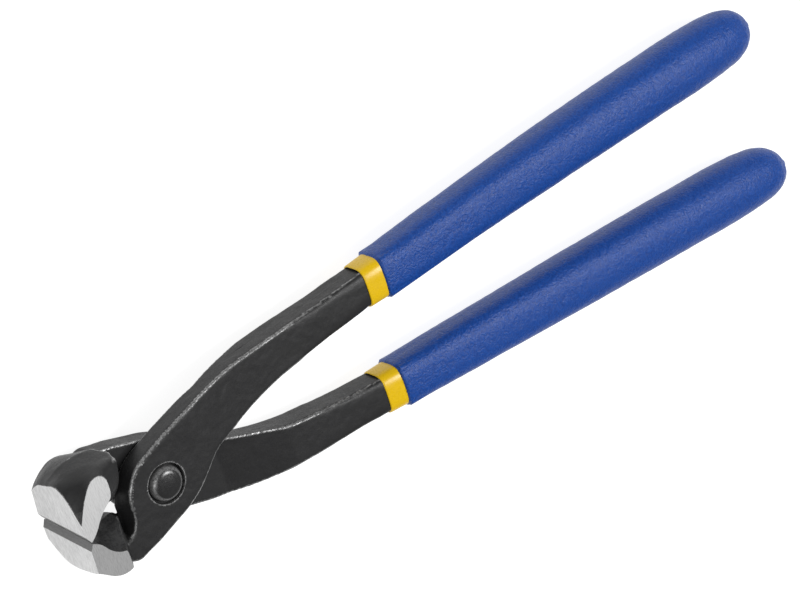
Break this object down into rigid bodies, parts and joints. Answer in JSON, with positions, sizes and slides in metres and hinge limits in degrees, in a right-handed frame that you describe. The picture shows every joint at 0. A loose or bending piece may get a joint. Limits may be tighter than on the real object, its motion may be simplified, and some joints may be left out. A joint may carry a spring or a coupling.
{
  "type": "tile nippers",
  "caption": "End-cutting nippers with wide ground jaws on a riveted lap joint and long dipped handles.",
  "frame": {"origin": "under the middle of the tool's length, midway between the handles, on the plane that the ground sides of the jaws rest on", "axes": "+X from the jaws to the handles, +Y across the handles towards the front lever's handle, +Z along the rivet, up when the tool lies down"},
  "size_m": [0.225, 0.054, 0.022],
  "materials": {
    "black_steel": "forged steel with a black oxide skin, jaw faces and sides ground bright",
    "rivet_steel": "blackened steel, slightly glossy peened heads",
    "yellow_plastic": "smooth glossy dipped soft plastic",
    "blue_plastic": "fine pebbled satin dipped soft plastic"
  },
  "bodies": {
    "front": {"front_lever": "black_steel", "pivot_rivet": "rivet_steel", "front_inner_sleeve": "yellow_plastic", "front_grip": "blue_plastic"},
    "rear": {"rear_lever": "black_steel", "rear_inner_sleeve": "yellow_plastic", "rear_grip": "blue_plastic"}
  },
  "joints": [
    {"name": "pivot", "type": "hinge", "parent": "front", "child": "rear", "pos_m": [-0.0874, 0, 0.011], "axis": [0, 0, -1], "range_deg": [0, 45]}
  ]
}
